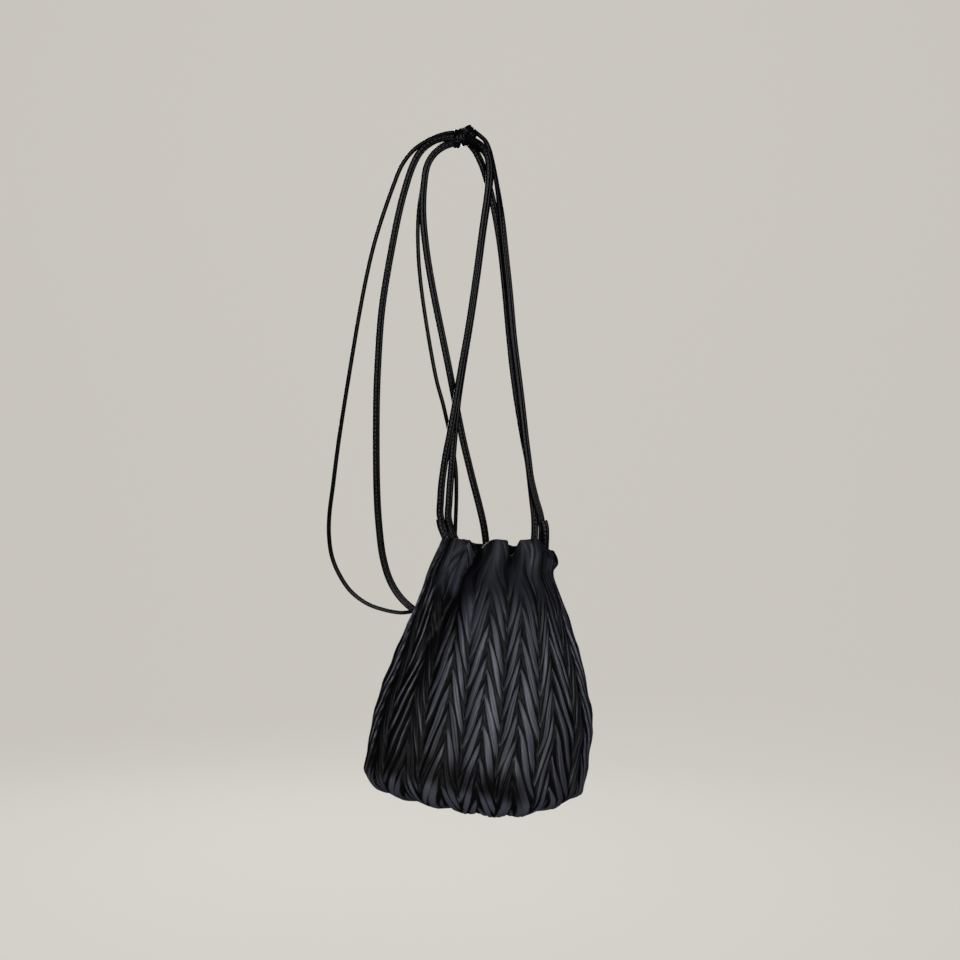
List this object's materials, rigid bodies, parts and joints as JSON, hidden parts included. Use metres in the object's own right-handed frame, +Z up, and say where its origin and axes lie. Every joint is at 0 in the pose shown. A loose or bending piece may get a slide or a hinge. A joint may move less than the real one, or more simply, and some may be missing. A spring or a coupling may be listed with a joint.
{
  "type": "drawstring purse",
  "caption": "Soft black drawstring pouch of chevron-pleated faux leather with a gathered open mouth, hung by a knot in its long flat cord straps.",
  "frame": {"origin": "the point beside the knot where the right-hand cords hang over a support", "axes": "+Z up along the hanging purse, -Y out of the front of the pouch, +X to the right as seen from the front"},
  "size_m": [0.2091, 0.0963, 0.5359],
  "materials": {
    "pleated_leather": "semi-matte black faux leather with sharp pressed pleats",
    "cord_leather": "semi-matte black flat leather cord, stitched along its middle"
  },
  "bodies": {
    "root": {"pouch": "pleated_leather", "strap_knot": "cord_leather", "strap_left_front": "cord_leather", "strap_left_back": "cord_leather", "strap_right_outer": "cord_leather", "strap_right_inner": "cord_leather", "slack_loop_outer": "cord_leather", "slack_loop_inner": "cord_leather", "cord_end_left": "cord_leather", "cord_end_right": "cord_leather"}
  },
  "joints": []
}
